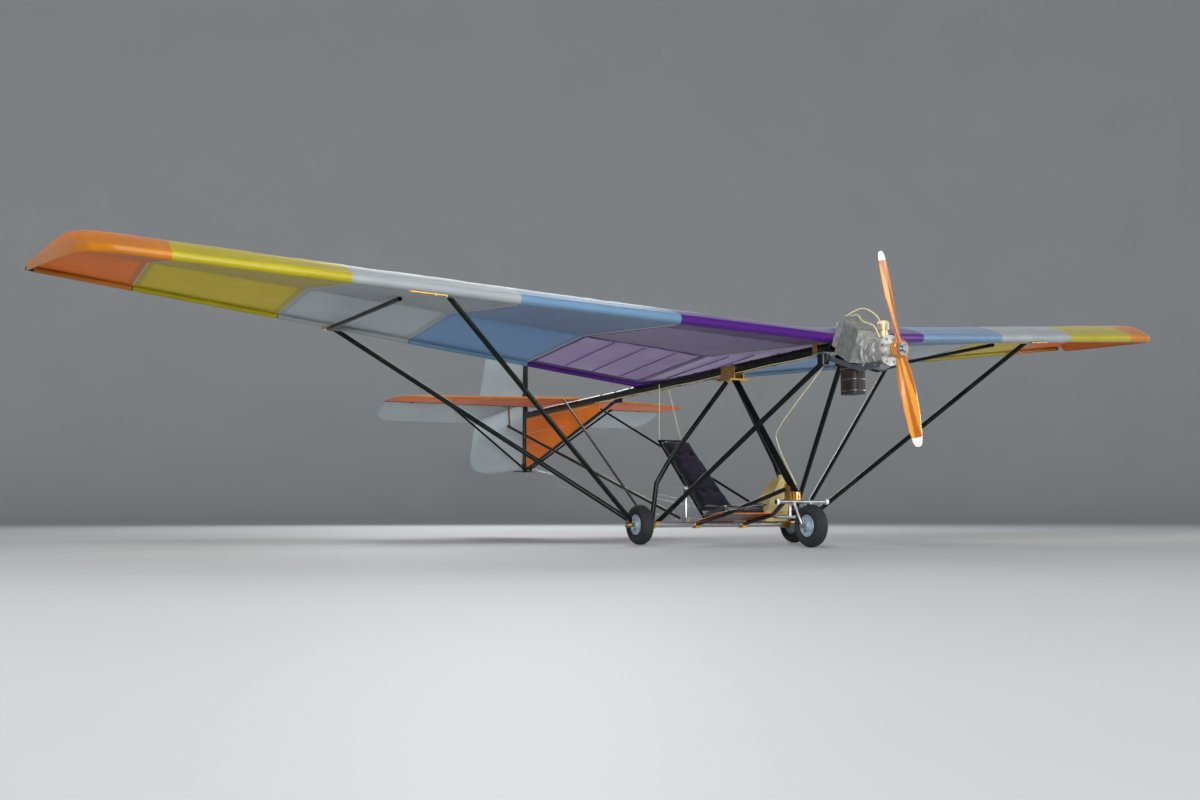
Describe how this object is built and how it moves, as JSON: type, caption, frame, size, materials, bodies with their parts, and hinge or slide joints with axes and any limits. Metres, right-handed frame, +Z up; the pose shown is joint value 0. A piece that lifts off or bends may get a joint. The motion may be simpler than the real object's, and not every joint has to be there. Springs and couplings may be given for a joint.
{
  "type": "microlight aircraft",
  "caption": "Single-seat high-wing microlight aircraft: fabric wing on struts over an open tube cage, nose-mounted engine and propeller, cross tail on a keel tube, tricycle wheels.",
  "frame": {"origin": "on the floor, in the middle of the overall box", "axes": "+X to port, +Y aft, +Z up; the nose faces -Y"},
  "size_m": [8.5438, 5.6276, 1.902],
  "materials": {
    "frame_tube": "dark green-black anodised tube, satin",
    "bare_alloy": "plain drawn tube, light grey",
    "gold_alloy": "gold anodised plate and castings",
    "engine_alloy": "cast and finned, slightly dulled",
    "bronze_casting": "cream coated castings",
    "dark_steel": "dark brown heat proof paint",
    "hub_steel": "light blue-grey paint",
    "plate_steel": "plain steel plate",
    "tyre": "black ribbed tread",
    "rod_black": "black anodised",
    "wood_prop": "varnished laminated wood with white tips",
    "sail_violet": "lilac sailcloth with deep purple sleeve and seams, satin sheen",
    "sail_blue": "pale sky blue sailcloth",
    "sail_white": "white sailcloth",
    "sail_yellow": "lemon yellow sailcloth",
    "sail_orange": "orange sailcloth",
    "cushion": "black glossy vinyl",
    "pan_orange": "moulded orange shell",
    "tank": "translucent yellowed plastic",
    "webbing": "cream webbing"
  },
  "bodies": {
    "airframe": {"keel_tube": "frame_tube", "nose_bracket": "gold_alloy", "keel_bracket": "gold_alloy", "leading_edge_tubes": "frame_tube", "trailing_edge_tubes": "frame_tube", "sail_centre": "sail_violet", "sail_blue": "sail_blue", "sail_white": "sail_white", "sail_yellow": "sail_yellow", "sail_tip": "sail_orange", "front_lift_struts": "frame_tube", "rear_lift_struts": "frame_tube", "drag_struts": "frame_tube", "strut_fittings": "gold_alloy", "forward_strut": "frame_tube", "side_tubes": "frame_tube", "nose_tubes": "frame_tube", "seat_rails": "rod_black", "axle_tube": "bare_alloy", "axle_brackets": "gold_alloy", "steering_head": "gold_alloy", "heel_bar": "bare_alloy", "seat_pan": "pan_orange", "seat_cushion": "cushion", "seat_back_frame": "frame_tube", "seat_back_cushions": "cushion", "seat_straps": "webbing", "fuel_tank": "tank", "control_stick": "bare_alloy", "crankcase": "engine_alloy", "cylinder_block": "engine_alloy", "cylinder_head": "engine_alloy", "carburettor": "bronze_casting", "muffler": "dark_steel", "engine_mount": "plate_steel", "fin": "sail_orange", "fin_frame": "frame_tube", "tail_post": "frame_tube", "stabilizer": "sail_orange", "stabilizer_struts": "frame_tube", "tail_braces": "frame_tube", "elevator_hinges": "frame_tube"},
    "propeller": {"propeller": "wood_prop", "propeller_hub": "plate_steel"},
    "left_wheel": {"left_tyre": "tyre", "left_rim": "hub_steel"},
    "right_wheel": {"right_tyre": "tyre", "right_rim": "hub_steel"},
    "steering": {"steering_fork": "bare_alloy", "foot_bar": "bare_alloy"},
    "nose_wheel": {"nose_tyre": "tyre", "nose_rim": "hub_steel"},
    "rudder": {"rudder": "sail_white", "rudder_tube": "frame_tube"},
    "elevator": {"elevators": "sail_white", "elevator_horn": "gold_alloy"},
    "pushrod": {"elevator_pushrod": "rod_black"}
  },
  "joints": [
    {"name": "propeller_spin", "type": "hinge", "parent": "airframe", "child": "propeller", "pos_m": [0, -2.7678, 1.118], "axis": [0, 1, 0], "continuous": true},
    {"name": "left_wheel_spin", "type": "hinge", "parent": "airframe", "child": "left_wheel", "pos_m": [0.616, -0.9228, 0.13], "axis": [1, 0, 0], "continuous": true},
    {"name": "right_wheel_spin", "type": "hinge", "parent": "airframe", "child": "right_wheel", "pos_m": [-0.616, -0.9228, 0.13], "axis": [1, 0, 0], "continuous": true},
    {"name": "steering_pivot", "type": "hinge", "parent": "airframe", "child": "steering", "pos_m": [0, -1.7978, 0.299], "axis": [0, 0, 1], "range_deg": [-25, 25]},
    {"name": "nose_wheel_spin", "type": "hinge", "parent": "steering", "child": "nose_wheel", "pos_m": [0, -1.9358, 0.13], "axis": [1, 0, 0], "continuous": true},
    {"name": "rudder_hinge", "type": "hinge", "parent": "airframe", "child": "rudder", "pos_m": [0, 2.2272, 1.2], "axis": [0, 0, 1], "range_deg": [-52, 2]},
    {"name": "elevator_hinge", "type": "hinge", "parent": "airframe", "child": "elevator", "pos_m": [0, 2.0932, 1.136], "axis": [1, 0, 0], "range_deg": [0, 42]},
    {"name": "pushrod_slide", "type": "slide", "parent": "airframe", "child": "pushrod", "axis": [0, 0.9664, 0.2571], "range_m": [0, 0.135]}
  ],
  "couplings": [
    {"joint": "pushrod_slide", "follows": "elevator_hinge", "m_per_rad": 0.18}
  ]
}
